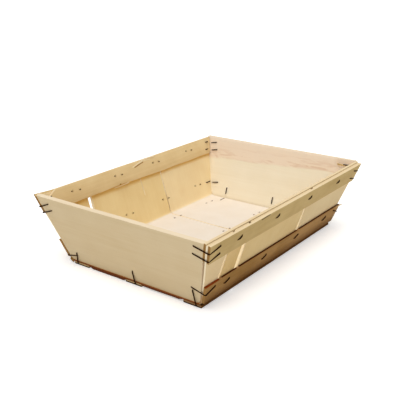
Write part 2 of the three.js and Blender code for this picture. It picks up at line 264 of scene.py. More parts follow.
def seen_directly(tree):
    """Is 1 for rays from the camera and from glossy or clear surfaces, and 0 for diffuse light."""
    rays = add_node(tree, "LightPath").outputs
    seen = rays["Is Camera Ray"]
    for name in ("Is Glossy Ray", "Is Transmission Ray"):
        seen = add_node(tree, "Math", operation="MAXIMUM", _0=seen, _1=rays[name])
    return seen


# %% [markdown]
# ## Floor and light
# The photograph has a white ground and very soft light from above. A sun with a wide disc lights the
# whole floor evenly, so that it stays white to the horizon. What the camera and the gloss see of the
# surroundings is white; the rest of the sky is dimmer.

# %% Lay the floor
bpy.ops.object.select_all(action="DESELECT")
bpy.ops.mesh.primitive_plane_add(size=60)
floor = bpy.context.object
floor.name = "studio_floor"
paper, tree, shader = new_material("white studio paper")
shader.inputs["Base Color"].default_value = colour("#F2F1EF")
shader.inputs["Roughness"].default_value = 0.9
shader.inputs["Specular IOR Level"].default_value = 0.1
paper_glow = 0.36
glow = add_node(tree, "Math", operation="MULTIPLY", _0=seen_directly(tree), _1=paper_glow)
shader.inputs["Emission Color"].default_value = (1, 1, 1, 1)
tree.links.new(glow.outputs[0], shader.inputs["Emission Strength"])
floor.data.materials.append(paper)

# %% Light the world
world = bpy.data.worlds.new("soft studio")
bpy.context.scene.world = world
world.use_nodes = True
sky = world.node_tree
dim = sky.nodes["Background"]
dim.inputs["Color"].default_value = colour("#FBFCFF")
dim.inputs["Strength"].default_value = 0.54
white = add_node(sky, "Background", Color=(1, 1, 1, 1), Strength=1.0)
both = add_node(sky, "MixShader", _0=seen_directly(sky), _1=dim, _2=white)
sky.links.new(both.outputs[0], sky.nodes["World Output"].inputs["Surface"])

# %% Hang the sun
sun_direction = Vector((-0.22, -0.12, 1))
bpy.ops.object.light_add(type="SUN", location=(0, 0, 1))
sun = bpy.context.object
sun.data.energy = 1.8
sun.data.angle = math.radians(50)
sun.rotation_mode = "QUATERNION"
sun.rotation_quaternion = sun_direction.to_track_quat("Z", "Y")
bpy.context.scene.view_settings.view_transform = "Standard"
print("light: one sun of", sun.data.energy, "and a sky of", dim.inputs["Strength"].default_value)

# %% [markdown]
# ## Poplar
# Poplar is a pale, even wood with fine straight grain. On every piece the grain runs along its length:
# across the tray on the strips, along it on the laths, and from side to side on the end boards. Noise
# that is stretched along one axis of the Object coordinates gives streaks in that direction. The real
# streaks are under a millimetre wide; the main ones here are 2 to 3 mm wide, so that they show.


# %% A wood grain for any piece
streak_size = 2.4 * mm
ring_size = 14 * mm
patch_size = 30 * mm
fibre_size = 0.9 * mm
across_grain = 1.0
along_grain = 0.035


class Poplar:
    """Straight-grained poplar, with its grain along one axis, or along two on a bent strip."""

    def __init__(self, name, grain_axes, pale, deep, fine=0.2, bands=0.2, blotches=0.2, rough=0.8):
        self.material, self.tree, self.shader = new_material(name)
        self.place = add_node(self.tree, "TexCoord").outputs["Object"]
        self.tone = colour(pale)
        tree = self.tree
        stretch = [along_grain if axis in grain_axes else across_grain for axis in "XYZ"]
        along = add_node(tree, "Mapping", Vector=self.place, Scale=stretch)
        layers = [
            (along, streak_size, {"Detail": 5.0, "Roughness": 0.6}, 0.36, 0.66, fine),
            (along, ring_size, {"Detail": 2.0, "Distortion": 0.6}, 0.35, 0.7, bands),
            (self.place, patch_size, {"Detail": 3.0}, 0.35, 0.7, blotches),
        ]
        shade = 0.0
        for vector, size, looks, low, high, top in layers:
            lumps = add_node(tree, "TexNoise", Vector=vector, Scale=1 / size, **looks)
            layer = add_node(tree, "MapRange", Value=lumps, From_Min=low, From_Max=high, To_Max=top)
            shade = add_node(tree, "Math", operation="ADD", _0=shade, _1=layer)
        self.stain(deep, shade)
        self.shader.inputs["Roughness"].default_value = rough
        self.shader.inputs["Specular IOR Level"].default_value = 0.2
        looks = {"Detail": 4.0, "Roughness": 0.7}
        fibres = add_node(tree, "TexNoise", Vector=along, Scale=1 / fibre_size, **looks)
        bump = add_node(tree, "Bump", Strength=0.3, Distance=0.2 * mm, Height=fibres)
        tree.links.new(bump.outputs[0], self.shader.inputs["Normal"])

    def stain(self, tone, *masks):
        """Paints a tone over the wood where all the masks are 1: grain, stains, and painted light and
        shade.
        """
        where = masks[0]
        for mask in masks[1:]:
            where = add_node(self.tree, "Math", operation="MULTIPLY", _0=where, _1=mask)
        tone = colour(tone) if isinstance(tone, str) else tone
        mixed = add_node(self.tree, "Mix", data_type="RGBA", _0=where, _6=self.tone, _7=tone)
        self.tone = mixed.outputs[2]
        self.tree.links.new(self.tone, self.shader.inputs["Base Color"])

    def dull(self):
        self.shader.inputs["Specular IOR Level"].default_value = 0.02

    def fade(self, axis, low, high, top=1.0):
        """A mask that grows along an axis, from nothing at one place in mm to the top at another."""
        along = add_node(self.tree, "SeparateXYZ", Vector=self.place).outputs[axis]
        limits = {"From_Min": low * mm, "From_Max": high * mm, "To_Max": top}
        return add_node(self.tree, "MapRange", Value=along, **limits)

    def travel(self, start, direction):
        """How far a place lies from a start, measured along a direction."""
        offset = add_node(self.tree, "VectorMath", operation="SUBTRACT", _0=self.place, _1=start)
        along = add_node(self.tree, "VectorMath", operation="DOT_PRODUCT", _0=offset, _1=direction)
        return along.outputs["Value"]


# %% [markdown]
# Rust has run into the wood round every staple tip. Each mark is a soft disc, made from the distance
# to its place. Painted highlights on slivers and gaps and painted shadows in cracks and chips are soft
# lines, made from the distance to a straight stretch.

# %% Rust and drawn lines
rust_reach = 2.2 * mm
rust_core = 0.8 * mm
rust_lumps = 1.5 * mm


def add_rust(wood, spots):
    """Stains the wood round the given places."""
    tree = wood.tree
    marks = 0.0
    for spot in spots:
        away = add_node(tree, "VectorMath", operation="DISTANCE", _0=wood.place, _1=spot)
        limits = {"From_Min": rust_reach, "From_Max": rust_core, "To_Max": 0.7}
        mark = add_node(tree, "MapRange", Value=away.outputs["Value"], **limits)
        marks = add_node(tree, "Math", operation="MAXIMUM", _0=marks, _1=mark)
    lumps = add_node(tree, "TexNoise", Vector=wood.place, Scale=1 / rust_lumps)
    patchy = add_node(tree, "MapRange", Value=lumps, From_Min=0.35, From_Max=0.55)
    wood.stain("#9A7038", marks, patchy)


def draw_lines(wood, wall, depth, lines, tone, width=0.9 * mm):
    """Paints soft lines on a face of a wall; each line is a list of (x, climb) corners in mm."""
    tree = wood.tree
    face_foot = wall.foot + wall.out * depth
    mask = 0.0
    for line in lines:
        corners = [face_foot + (along_tray * x + wall.up * climb) * mm for x, climb in line]
        for start, stop in zip(corners, corners[1:]):
            run = stop - start
            step = run / run.length_squared
            offset = add_node(tree, "VectorMath", operation="SUBTRACT", _0=wood.place, _1=start)
            share = add_node(tree, "VectorMath", operation="DOT_PRODUCT", _0=offset, _1=step)
            inside = add_node(tree, "MapRange", Value=share.outputs["Value"])
            nearest = add_node(tree, "VectorMath", operation="SCALE", _0=run, Scale=inside)
            away = add_node(tree, "VectorMath", operation="DISTANCE", _0=offset, _1=nearest)
            limits = {"From_Min": width, "From_Max": width / 3}
            ink = add_node(tree, "MapRange", Value=away.outputs["Value"], **limits)
            mask = add_node(tree, "Math", operation="MAXIMUM", _0=mask, _1=ink)
    wood.stain(tone, mask)


# %% [markdown]
# Fresh sawn edges are paler than the weathered faces, and so is the veneer where a knife cut it, but
# for the foot of the near wall, which is darker. The end grain at the far wall's corner has weathered
# brown.

# %% Wood of the edges
knife_cut = Poplar("knife-cut veneer edge", "Y", "#FFF0D0", "#F6DEB2")
knife_cut.stain("#A87840", knife_cut.fade("Z", 30, 12, 0.85), knife_cut.fade("Y", -84, -88))
end_grain = Poplar("poplar end grain", "Z", "#AA8046", "#765020", rough=0.85)
old_end_grain = Poplar("weathered end grain", "Z", "#9A7034", "#7A5424", rough=0.85)
lath_edge_and_highlight = Poplar("fresh lath edge", "X", "#E9D3AA", "#D6BA8A")
board_edge_and_highlight = Poplar("fresh board edge", "Y", "#EBD9BA", "#D9C19C")
print("materials so far:", len(bpy.data.materials))

# %% [markdown]
# ## Modelling helpers
# In edit mode an operator acts on what is selected, so edges and faces are picked by a test on where
# they are. A plane cut that throws away one side is the saw of this workshop.


# %% Start, pick and saw
def open_blank(size):
    """Gives the primitive just added its size and opens it for editing."""
    piece = bpy.context.object
    piece.scale = size
    bpy.ops.object.transform_apply(location=True, rotation=True, scale=True)
    bpy.ops.object.mode_set(mode="EDIT")
    return piece


def make_active(piece):
    """Selects one piece and nothing else."""
    bpy.ops.object.select_all(action="DESELECT")
    piece.select_set(True)
    bpy.context.view_layer.objects.active = piece


def duplicate(pattern):
    """A copy of a piece with a mesh of its own."""
    piece = pattern.copy()
    piece.data = pattern.data.copy()
    bpy.context.collection.objects.link(piece)
    make_active(piece)
    return piece


def select_mesh():
    bpy.ops.mesh.select_all(action="SELECT")


def pick(kind, test):
    """Selects the edges or faces of the edited mesh that pass a test."""
    bpy.ops.mesh.select_mode(type=kind)
    bpy.ops.mesh.select_all(action="DESELECT")
    mesh = bmesh.from_edit_mesh(bpy.context.object.data)
    for element in mesh.edges if kind == "EDGE" else mesh.faces:
        if test(element):
            element.select_set(True)
    mesh.select_flush_mode()
    bmesh.update_edit_mesh(bpy.context.object.data)


def middle(edge):
    return (edge.verts[0].co + edge.verts[1].co) / 2


def run_of(edge):
    return (edge.verts[1].co - edge.verts[0].co).normalized()


def saw(point, outward, fill=True):
    """Cuts the edited mesh by a plane and drops what lies beyond it."""
    select_mesh()
    bpy.ops.mesh.bisect(plane_co=point, plane_no=outward, use_fill=fill, clear_outer=True)


def extrude(step):
    bpy.ops.mesh.extrude_region_move(TRANSFORM_OT_translate={"value": step})


def face_outwards():
    """Turns the faces of the edited closed mesh to its outer side."""
    select_mesh()
    bpy.ops.mesh.normals_make_consistent(inside=False)
    bpy.ops.object.mode_set(mode="OBJECT")


# %% Wear, paint and finish
def apply_modifier(piece, kind, name, **settings):
    modifier = piece.modifiers.new(name, kind)
    for setting, value in settings.items():
        setattr(modifier, setting, value)
    bpy.ops.object.modifier_apply(modifier=name)


def clouds(name, size):
    """Soft noise for warps, with lumps of about the given size."""
    texture = bpy.data.textures.new(name, "CLOUDS")
    texture.noise_scale = size
    texture.noise_depth = 1
    return texture


slow_warp = clouds("slow warp", 0.09)
quick_wear = clouds("quick wear", 0.012)


def displace(piece, name, direction, strength, texture=slow_warp, **settings):
    """Moves the vertices to and fro by a soft noise."""
    apply_modifier(
        piece, "DISPLACE", name, texture=texture, texture_coords="GLOBAL",
        direction=direction, strength=strength, mid_level=0.5, **settings,
    )


def cut_across(face):
    return abs(face.normal.x) > 0.5


def paint_faces(piece, wood, test):
    """Gives the faces that pass a test a wood of their own."""
    piece.data.materials.append(wood.material)
    slot_number = len(piece.data.materials) - 1
    for face in piece.data.polygons:
        if test(face):
            face.material_index = slot_number


splinter_thickness = 0.7 * mm


def raise_splinter(piece, wall, places, width, wood):
    """Draws a tapering sliver along places, each (x, climb, depth) in mm, and joins it to a piece."""
    points = [
        along_tray * x * mm + wall.foot + wall.up * climb * mm + wall.out * depth * mm
        for x, climb, depth in places
    ]
    facing = (points[1] - points[0]).to_track_quat("Z", "Y").to_euler()
    bpy.ops.object.select_all(action="DESELECT")
    bpy.ops.mesh.primitive_plane_add(size=1, location=points[0], rotation=facing)
    sliver = open_blank((splinter_thickness, width, 1))
    select_mesh()
    for here, there in zip(points, points[1:]):
        extrude(there - here)
        bpy.ops.transform.resize(value=(1, 0.8, 0.8), center_override=there)
    face_outwards()
    sliver.data.materials.append(wood.material)
    piece.select_set(True)
    bpy.context.view_layer.objects.active = piece
    bpy.ops.object.join()
    for vertex in piece.data.vertices:
        vertex.co.z = min(vertex.co.z, cad_box[1][2])


def finish_piece(piece, name, slot, *nodes):
    """Names a piece, shades it and lets it stand for its CAD nodes."""
    bpy.ops.object.shade_smooth_by_angle(angle=math.radians(35))
    piece.name = name
    piece.data.name = name
    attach(piece, "root")
    if nodes:
        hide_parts(*nodes)


# %% [markdown]
# ## The veneer strips
# Each strip is one sheet of peeled veneer, scored and bent up at both sides. A bender would lay the
# flat sheet down and turn up its sides, and so does this cell: a flat grid is the floor, spinning its
# edge round the fold's axis makes the bend, and extruding that edge makes the wall. The four strips
# are copies of this sheet, each sawn to its own edges and then thickened outwards.

# %% Bend one sheet
blank_length = 0.4
rim_setback = 1.1 * mm
touch = 0.1 * mm
floor_rows = 30
fold_rows = 6
wall_rows = 14
floor_half = [wall.foot.y - wall.side * wall.fold_start for wall in walls]
floor_width = floor_half[1] - floor_half[0]
bpy.ops.object.select_all(action="DESELECT")
bpy.ops.mesh.primitive_grid_add(
    x_subdivisions=1, y_subdivisions=floor_rows, size=1, location=(0, sum(floor_half) / 2, floor_top),
)
sheet = open_blank((blank_length, floor_width, 1))
for wall, edge_y in zip(walls, floor_half):
    pick("EDGE", lambda edge: all(abs(v.co.y - edge_y) < touch for v in edge.verts))
    bpy.ops.mesh.spin(
        steps=fold_rows, angle=-wall.side * wall.turn,
        center=(0, edge_y, floor_top + fold_radius), axis=(1, 0, 0),
    )
    climb = wall.rise - wall.fold_start - rim_setback
    for row in range(wall_rows):
        extrude(wall.up * (climb / wall_rows))
select_mesh()
bpy.ops.mesh.normals_make_consistent(inside=False)
if bmesh.from_edit_mesh(sheet.data).faces[0].normal.z < 0:
    bpy.ops.mesh.flip_normals()
bpy.ops.object.mode_set(mode="OBJECT")
rim_z = max(vertex.co.z for vertex in sheet.data.vertices)
print("the bent sheet is", round((rim_z - floor_top) / mm, 1), "mm deep")
print("its floor faces", "up" if sheet.data.polygons[0].normal.z > 0 else "down")

# %% [markdown]
# The strips were laid by hand, and the gaps between them aren't quite square to the tray, so three
# corners of a CAD strip give the plane of each edge. The knife left the edges a little ragged: they
# get a fine noise, and the sheet a slow one. It also cut at a slant, which shows as a pale line beside
# each gap and opens the gaps of the near wall. In the thickened mesh the outer layer's vertices follow
# the inner ones, so moving one of a pair slants the cut. The first strip's front edge, under the front
# board, has crept forwards and frayed down between the runners.


# %% Slanting cuts
below_folds = 8 * mm
near_rail_zone = 80 * mm
runner_reach = 12 * mm
runner_middles = [sum(corner.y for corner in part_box("runner_" + place)) / 2 for place in rows]
front_creep = 1.6 * mm
front_slant = 1.8 * mm
near_fray = 1.5 * mm
far_fray = 2.6 * mm
floor_slant = 0.9 * mm
rim_creep = 3 * mm
near_slant = 2.4 * mm
third_far_slant = 1.4 * mm
other_far_slant = -0.4 * mm
first_back_slant = 1.7 * mm
back_slant = 1 * mm


def slant_front(number, inner, outer):
    """Slants the cut at one pair of vertices of a strip's front edge."""
    on_floor = outer.co.z < below_folds
    on_near_wall = outer.co.y < 0
    if number == 1:
        if on_floor:
            inner.co.x -= front_creep
            outer.co.x -= front_slant
            if min(abs(outer.co.y - middle_y) for middle_y in runner_middles) > runner_reach:
                outer.co.z -= near_fray if on_near_wall else far_fray
    elif on_floor:
        outer.co.x -= floor_slant
    elif on_near_wall and number == 3 and outer.co.z > near_rail_zone:
        inner.co.x -= rim_creep
        outer.co.x -= rim_creep
    elif on_near_wall:
        inner.co.x += near_slant
    else:
        outer.co.x -= third_far_slant if number == 3 else other_far_slant


def slant_back(number, outer):
    """Slants the cut at a vertex of the outer layer of a strip's back edge."""
    if number < 4 and outer.co.y < 0 and outer.co.z > below_folds:
        outer.co.x -= first_back_slant if number == 1 else back_slant


# %% Cut the four strips
strip_cell = 4 * mm
ragged_depth = 0.9 * mm
strip_warp = 0.5 * mm
past_middle = 10 * mm


def edge_plane(node, end):
    """A point of a strip's edge and the direction that points away from the strip."""
    outwards = along_tray * end
    far_rim = farthest(node, far_wall.up * 3 + outwards)
    near_rim = farthest(node, near_wall.up * 3 + outwards)
    bottom = farthest(node, outwards - upright * 3)
    normal = (far_rim - near_rim).cross(bottom - near_rim).normalized()
    return near_rim, normal if normal.x * end > 0 else -normal


def runs_along_tray(edge):
    return abs(run_of(edge).x) > 0.7


strips = []
for number in range(1, 5):
    node = "veneer_strip_" + str(number)
    strip = duplicate(sheet)
    bpy.ops.object.mode_set(mode="EDIT")
    for end in (-1, 1):
        saw(*edge_plane(node, end), fill=False)
    low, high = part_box(node)
    pick("EDGE", runs_along_tray)
    bpy.ops.mesh.subdivide(number_cuts=max(2, round((high.x - low.x) / strip_cell)))
    bpy.ops.object.mode_set(mode="OBJECT")
    mesh = bmesh.new()
    mesh.from_mesh(strip.data)
    cuts = [edge for edge in mesh.edges if edge.is_boundary and not runs_along_tray(edge)]
    cut_places = {vertex.index for edge in cuts for vertex in edge.verts}
    mesh.free()
    group = strip.vertex_groups.new(name="cut edges")
    group.add(sorted(cut_places), 1.0, "REPLACE")
    displace(strip, "rag the edges", "X", ragged_depth, quick_wear, vertex_group="cut edges")
    displace(strip, "warp", "NORMAL", strip_warp)
    vertices = strip.data.vertices
    count = len(vertices)
    past_front = (low.x + high.x) / 2 + past_middle
    front_cut = [index for index in cut_places if vertices[index].co.x < past_front]
    back_cut = cut_places.difference(front_cut)
    apply_modifier(strip, "SOLIDIFY", "thicken", thickness=veneer, offset=-1)
    vertices = strip.data.vertices
    for index in front_cut:
        slant_front(number, vertices[index], vertices[index + count])
    for index in back_cut:
        slant_back(number, vertices[index + count])
    strips.append(strip)
    print(node, "has", len(cut_places), "vertices on its cuts")
bpy.data.objects.remove(sheet)

# %% [markdown]
# The third strip has a short split in the far wall: a thin wedge, cut out with a boolean.

# %% Split the third strip
split_depth = 2 * mm
split_tip = 0.2 * mm
split_foot = far_wall.foot + far_wall.up * 36 * mm + along_tray * 1.0 * mm
split_top = far_wall.foot + far_wall.up * 60 * mm + along_tray * 0.3 * mm
bpy.ops.object.select_all(action="DESELECT")
bpy.ops.mesh.primitive_plane_add(
    size=1, location=split_foot - far_wall.out * split_depth,
    rotation=far_wall.out.to_track_quat("Z", "Y").to_euler(),
)
wedge = open_blank((split_tip, split_tip, 1))
pick("EDGE", lambda edge: (middle(edge) - split_foot).dot(far_wall.up) > split_tip / 4)
bpy.ops.transform.translate(value=split_top - split_foot)
bpy.ops.transform.resize(value=(8, 1, 1), center_override=split_top)
select_mesh()
extrude(far_wall.out * 3 * split_depth)
face_outwards()
make_active(strips[2])
apply_modifier(strips[2], "BOOLEAN", "split", object=wedge, operation="DIFFERENCE", solver="EXACT")
bpy.data.objects.remove(wedge)
print("the split strip has", len(strips[2].data.polygons), "faces")

# %% [markdown]
# The floor is painted almost white, as a sheen of light, and the near wall's outside gets painted
# shade.
# Under the far inner rail a golden painted shadow runs along the wall. The first strip's front edge,
# under the front board, is dark with painted shade and some dirt, and the fold below the near lower
# rail is darker.


# %% Paint the strips
rail_width = 23.5 * mm
sheen_patch_size = 26 * mm
shade_start = 5 * mm
shade_full = 1 * mm
shade_held = 4 * mm
shade_gone = 6 * mm
fold_top = 10 * mm
near_fold_y = -86 * mm
rails_apart = (12 * mm, 60 * mm)
far_corner_y = 88 * mm
front_foot_top = 6 * mm
front_foot_reach = 91 * mm


def bleach_floor(wood):
    """Paints shade on the near wall's outside, and a pale sheen of light on the floor, weaker towards
    the near wall.
    """
    tree = wood.tree
    # Painted shade on the outside of the near wall, which faces away from the light.
    wood.stain("#A8844C", wood.fade("Y", -85, -95, 0.28))
    # A pale painted sheen of light on the floor, weaker towards the near wall.
    worn = add_node(tree, "Math", operation="MAXIMUM", _0=wood.fade("Y", -60, 0), _1=0.3)
    sheen_patches = add_node(tree, "TexNoise", Vector=wood.place, Scale=1 / sheen_patch_size, Detail=4.0)
    pale, dark = colour("#ECE2D5"), colour("#E2D4C0")
    sheen_tone = add_node(tree, "Mix", data_type="RGBA", _0=sheen_patches, _6=pale, _7=dark).outputs[2]
    wood.stain(sheen_tone, wood.fade("Z", 7.2, 5.6), worn)


def shade_under_rail(wood):
    """Paints a golden shadow on the far wall along the lower edge of its inner rail."""
    climb = wood.travel(far_wall.foot, far_wall.up)
    edge = far_wall.rise - rail_width
    limits = {"From_Min": edge - shade_start, "From_Max": edge - shade_full, "To_Max": 0.7}
    shade = add_node(wood.tree, "MapRange", Value=climb, **limits)
    limits = {"From_Min": edge + shade_gone, "From_Max": edge + shade_held}
    below_rim = add_node(wood.tree, "MapRange", Value=climb, **limits)
    wood.stain("#E2B254", shade, below_rim, wood.fade("Y", 0, 1))


def is_rim(face):
    return face.normal.z > 0.7 and face.center.z > near_rail_zone


def is_near_fold(face):
    return face.normal.z < -0.25 and face.center.z < fold_top and face.center.y < near_fold_y


def is_far_corner(face):
    between_rails = rails_apart[0] < face.center.z < rails_apart[1]
    return face.normal.x < -0.5 and face.center.y > far_corner_y and not between_rails


def is_front_foot(face):
    on_foot = face.center.z < front_foot_top and abs(face.center.y) < front_foot_reach
    return face.normal.x < -0.5 and on_foot


# Painted shade, with some dirt, on the first strip's front edge under the front board, darkest at the
# bottom.
shaded_front_edge = Poplar("stained veneer edge", "Y", "#A8621E", "#80401A")
shaded_front_edge.stain("#5A2808", shaded_front_edge.fade("Z", 4.6, 3.6, 0.9))
dark_fold_veneer = Poplar("damp veneer", "YZ", "#8A6234", "#5E3C18")
strip_tips = [tip for name in rows for tip in staple_tips("runner", name, -upright)]
strip_tips += [tip for wall in walls for tip in staple_tips("lower", wall.name, wall.out)]
strip_tones = [
    ("#F9E2B5", "#EBCC96"), ("#EFD094", "#DCB76E"), ("#F2D9A1", "#E3C285"), ("#F7E2B4", "#E8CA94"),
]
# Painted highlights: pale lines beside the far wall's third gap and along its split, like raised fibre
# edges.
painted_gap_highlights = [[(40.3, 57), (40.3, 30)], [(0.5, 55), (1.6, 38)]]
for number, (strip, (pale, deep)) in enumerate(zip(strips, strip_tones), start=1):
    node = "veneer_strip_" + str(number)
    low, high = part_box(node)
    spots = [tip for tip in strip_tips if low.x < tip.x < high.x]
    wood = Poplar(
        "peeled poplar veneer " + str(number), "YZ", pale, deep, fine=0.12, bands=0.1, blotches=0.35,
    )
    bleach_floor(wood)
    shade_under_rail(wood)
    add_rust(wood, spots)
    if number > 2:
        draw_lines(wood, far_wall, 0, painted_gap_highlights, "#F8E8C6")
    strip.data.materials.append(wood.material)
    paint_faces(strip, knife_cut, cut_across)
    paint_faces(strip, lath_edge_and_highlight, is_rim)
    paint_faces(strip, dark_fold_veneer, is_near_fold)
    if number == 1:
        paint_faces(strip, old_end_grain, is_far_corner)
        paint_faces(strip, shaded_front_edge, is_front_foot)
    make_active(strip)
    finish_piece(strip, "peeled_strip_" + str(number), "veneer", node)
print("strips:", [len(strip.data.polygons) for strip in strips], "faces")

# %% [markdown]
# ## The end boards
# An end board is a sawn plank, shaped to the section of the tray. A cube at the plank's size is leant
# over, sawn along both walls and rounded at its two lower corners where the veneer bends. Its foot is
# planed level to sit on the floor. So is the back board's upper edge, as the photograph shows.


# %% Saw the end boards
plank_length = 0.3
foot_sinking = 0.2 * mm
lower_corner_zone = 15 * mm


def plane_level(test, height):
    """Makes the faces that pass a test level, at a height."""
    pick("FACE", test)
    bpy.ops.transform.resize(value=(1, 1, 0), center_override=(0, 0, height))


def saw_board(end):
    centre = (end.high + end.low) / 2 - end.out * board / 2
    centre.y = 0
    bpy.ops.object.select_all(action="DESELECT")
    bpy.ops.mesh.primitive_cube_add(size=1, location=centre, rotation=(0, end.side * end.lean, 0))
    plank = open_blank((board, plank_length, end.rise))
    saw(far_wall.foot, far_wall.out)
    fold_end = near_wall.foot + near_wall.up * near_wall.fold_start
    beside_rail = near_wall.foot + near_wall.up * near_wall.rise - near_wall.out * inner_face
    slope = (beside_rail - fold_end).normalized()
    saw(fold_end, Vector((0, -slope.z, slope.y)))
    pick("EDGE", lambda edge: abs(run_of(edge).x) > 0.9 and middle(edge).z < lower_corner_zone)
    bpy.ops.mesh.bevel(offset=near_wall.fold_start, segments=6, affect="EDGES")
    plane_level(lambda face: face.normal.z < -0.95, floor_top - foot_sinking)
    if end.name == "back":
        plane_level(lambda face: face.normal.dot(end.up) > 0.95, cad_box[1][2])
    bpy.ops.object.mode_set(mode="OBJECT")
    return plank


boards = [saw_board(end) for end in ends]
print("boards:", [len(plank.data.polygons) for plank in boards], "faces")

# %% [markdown]
# The back board was sawn from the middle of the log: its upper third is reddish heartwood, with wavy
# darker streaks where it meets the pale sapwood. The border rises slowly towards the near wall, where
# the heartwood is darkest along the upper edge.

# %% Heartwood
swirl_size = 16 * mm
wave_height = 9 * mm
thread_size = 5 * mm
streaks_gone = 86 * mm
streaks_full = 68 * mm
sapwood_top = 66 * mm
heartwood_foot = 69.5 * mm


def add_heartwood(wood):
    tree = wood.tree
    axes = add_node(tree, "SeparateXYZ", Vector=wood.place).outputs
    flowing = add_node(tree, "Mapping", Vector=wood.place, Scale=(1, 0.14, 1))
    looks = {"Detail": 3.0, "Distortion": 0.8}
    swirls = add_node(tree, "TexNoise", Vector=flowing, Scale=1 / swirl_size, **looks)
    waves = add_node(tree, "Math", operation="MULTIPLY", _0=swirls, _1=wave_height)
    slope = add_node(tree, "Math", operation="MULTIPLY", _0=axes["Y"], _1=0.05)
    level = add_node(tree, "Math", operation="ADD", _0=axes["Z"], _1=slope)
    level = add_node(tree, "Math", operation="ADD", _0=level, _1=waves)
    looks = {"Detail": 3.0, "Distortion": 1.2}
    threads = add_node(tree, "TexNoise", Vector=flowing, Scale=1 / thread_size, **looks)
    lines = add_node(tree, "MapRange", Value=threads, From_Min=0.5, From_Max=0.62, To_Max=0.75)
    border = add_node(tree, "MapRange", Value=level, From_Min=streaks_gone, From_Max=streaks_full)
    streaky = add_node(tree, "Math", operation="MULTIPLY", _0=lines, _1=border)
    at_near_end = wood.fade("Y", -86, -93, 0.9)
    dark_top = add_node(tree, "Math", operation="MULTIPLY", _0=at_near_end, _1=wood.fade("Z", 76, 79))
    heart_tone = colour("#F6E1C9")
    for mask, tone in ((streaky, "#DEB999"), (dark_top, "#E4CAAE")):
        mixed = add_node(tree, "Mix", data_type="RGBA", _0=mask, _6=heart_tone, _7=colour(tone))
        heart_tone = mixed.outputs[2]
    limits = {"From_Min": sapwood_top, "From_Max": heartwood_foot, "To_Max": 0.85}
    wood.stain(heart_tone, add_node(tree, "MapRange", Value=level, **limits))


# %% [markdown]
# A board needs vertices all over before it can warp, so evenly spaced planes that keep both sides cut
# it into a grid. Where the upper near corner staple comes through the back board, it has torn a sliver
# out of the wood.


# %% Warp and wear
board_cell = 10 * mm
board_reach = Vector((0, 0.12, 0))
board_warp = 0.7 * mm
board_arris = 0.35 * mm
torn_width = 2.2 * mm


def slice_evenly(low, high, direction):
    """Cuts the edited mesh by evenly spaced planes between two points, without dropping anything."""
    count = round((high - low).length / board_cell)
    for index in range(1, count):
        select_mesh()
        bpy.ops.mesh.bisect(plane_co=low.lerp(high, index / count), plane_no=direction)


board_tones = [("#DFCAA3", "#D2B88A"), ("#FAF0D8", "#F0E2C3")]
for end, plank, (pale, deep) in zip(ends, boards, board_tones):
    make_active(plank)
    bpy.ops.object.mode_set(mode="EDIT")
    slice_evenly(-board_reach, board_reach, across_tray)
    slice_evenly(end.low, end.high, end.up)
    bpy.ops.object.mode_set(mode="OBJECT")
    displace(plank, "warp", "X", board_warp)
    apply_modifier(plank, "BEVEL", "worn arrises", width=board_arris, segments=2, angle_limit=0.9)
    wood = Poplar("sawn poplar board " + end.name, "Y", pale, deep)
    # Painted shade along the foot, where the board meets the floor.
    wood.stain("#A08048", wood.fade("Z", 8, 6, 0.2))
    if end.name == "back":
        add_heartwood(wood)
    plank.data.materials.append(wood.material)
    # Sawn edges are pale; the sides along the walls are also painted pale, as light against the shade
    # beside the strips.
    paint_faces(
        plank, board_edge_and_highlight, lambda face: face.normal.dot(end.up) > 0.7 or abs(face.normal.y) > 0.7,
    )
    if end.name == "back":
        torn = [(157, 70.8, -21.8), (155.9, 72.1, -18.5), (155.5, 73.1, -15.2), (155.6, 73.9, -12)]
        torn_wood = Poplar("torn board fibres", "Y", "#D9BC80", "#C4A265")
        raise_splinter(plank, near_wall, torn, torn_width, torn_wood)
    finish_piece(plank, "sawn_board_" + end.name, "end_board", "end_board_" + end.name)

# %% [markdown]
# ## The laths
# All rails and runners are thin sawn laths. Each starts as a cube at the lath's size, leant to its
# wall, and the planes of the end boards cut its ends. Its own eight CAD corners say where it lies.


# %% Saw a lath
lath_cuts = 40
farthest_y = 122.6 * mm
lath_warp = 0.5 * mm
lath_arris = 0.3 * mm


def saw_lath(node, up, out, lean):
    corners = {
        (end, across, climb): farthest(node, along_tray * end * 1.5 + out * across + up * climb)
        for end in (-1, 1) for across in (-1, 1) for climb in (-1, 1)
    }
    centre = flat_in_section(sum((corners[1, a, c] for a in (-1, 1) for c in (-1, 1)), Vector()) / 4)
    thickness = (corners[1, 1, 1] - corners[1, -1, 1]).dot(out)
    slant = corners[1, 1, 1] - corners[1, 1, -1]
    width = slant.dot(up)
    bpy.ops.object.select_all(action="DESELECT")
    bpy.ops.mesh.primitive_cube_add(size=1, location=centre, rotation=(lean, 0, 0))
    piece = open_blank((blank_length, thickness, width))
    for end in (-1, 1):
        outward = Vector((slant.z, 0, -slant.x)).normalized()
        outward.x *= end
        saw(corners[end, 1, -1], outward)
    pick("EDGE", runs_along_tray)
    bpy.ops.mesh.subdivide(number_cuts=lath_cuts)
    bpy.ops.object.mode_set(mode="OBJECT")
    print(node, "is", round(thickness / mm, 1), "mm thick and", round(width / mm, 1), "mm wide")
    return piece


def fray_lower_edge(piece, wall):
    """Lifts the lower edge of a rail unevenly, most of all a little before the middle."""
    upper_part = 20 * mm
    worst_x = -45 * mm
    worn_length = 50 * mm
    ripple_length = 9 * mm
    for vertex in piece.data.vertices:
        climb = (vertex.co - wall.foot).dot(wall.up)
        if climb < wall.rise - upper_part:
            swell = math.exp(-((vertex.co.x - worst_x) / worn_length) ** 2)
            ripple = math.sin(vertex.co.x / ripple_length)
            vertex.co += wall.up * (0.8 + 1.1 * swell + 0.2 * ripple) * mm


